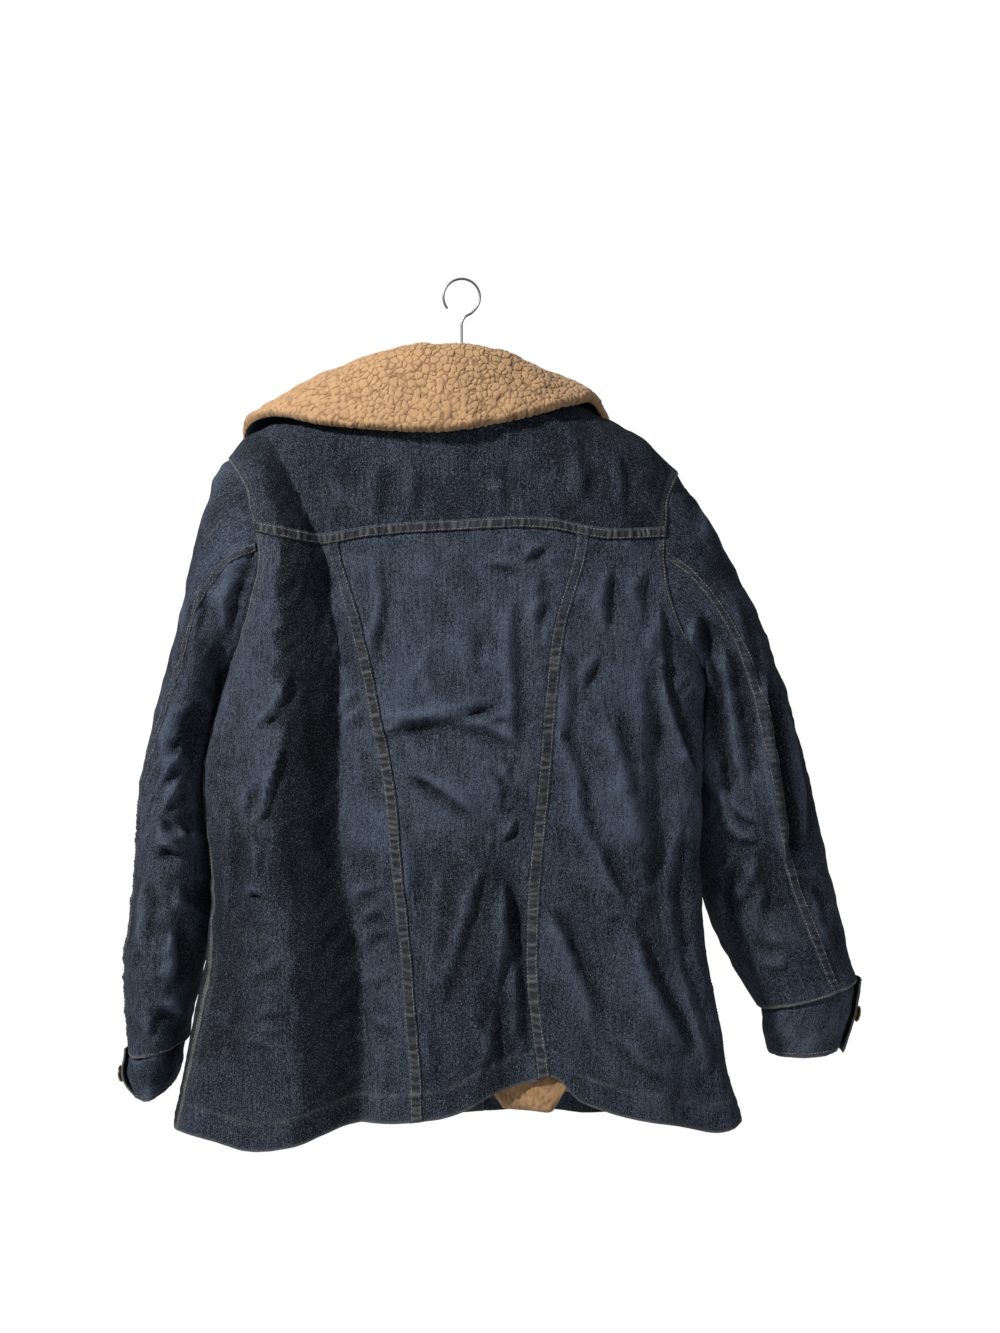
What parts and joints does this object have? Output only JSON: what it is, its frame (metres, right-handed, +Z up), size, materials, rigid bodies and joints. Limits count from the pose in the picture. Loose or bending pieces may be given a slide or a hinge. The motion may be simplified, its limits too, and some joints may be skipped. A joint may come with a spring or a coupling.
{
  "type": "sherpa lined denim jacket on a wire hanger",
  "caption": "Hip-length dark denim jacket with a wide sherpa collar and a sherpa body lining, buttoned, hanging on a wire hanger by its hook.",
  "frame": {"origin": "inside top of the hanger's hook, where it rests on a rail", "axes": "+Z up, the jacket's front faces -Y and its back +Y, the wearer's left side is at +X"},
  "size_m": [0.7847, 0.1972, 0.8753],
  "materials": {
    "denim": "dark indigo twill, worn pale at the seams",
    "sherpa": "matte nubbed pile",
    "steel": "drawn wire",
    "button_metal": "aged, satin"
  },
  "bodies": {
    "root": {"back_yoke": "denim", "button_cuff_left": "button_metal", "button_cuff_right": "button_metal", "button_front_1": "button_metal", "button_front_2": "button_metal", "button_front_3": "button_metal", "button_front_4": "button_metal", "button_front_5": "button_metal", "centre_back": "denim", "collar_under": "denim", "collar_upper": "sherpa", "cuff_left": "denim", "cuff_right": "denim", "front_left": "denim", "front_right": "denim", "hanger_frame": "steel", "hanger_hook": "steel", "hem_back": "denim", "hem_front_left": "denim", "hem_front_right": "denim", "lining_back": "sherpa", "lining_front_left": "sherpa", "lining_front_right": "sherpa", "seam_back_left": "denim", "seam_back_right": "denim", "seam_elbow_left": "denim", "seam_elbow_right": "denim", "seam_yoke": "denim", "side_back_left": "denim", "side_back_right": "denim", "sleeve_under_left": "denim", "sleeve_under_right": "denim", "sleeve_upper_left": "denim", "sleeve_upper_right": "denim"}
  },
  "joints": []
}
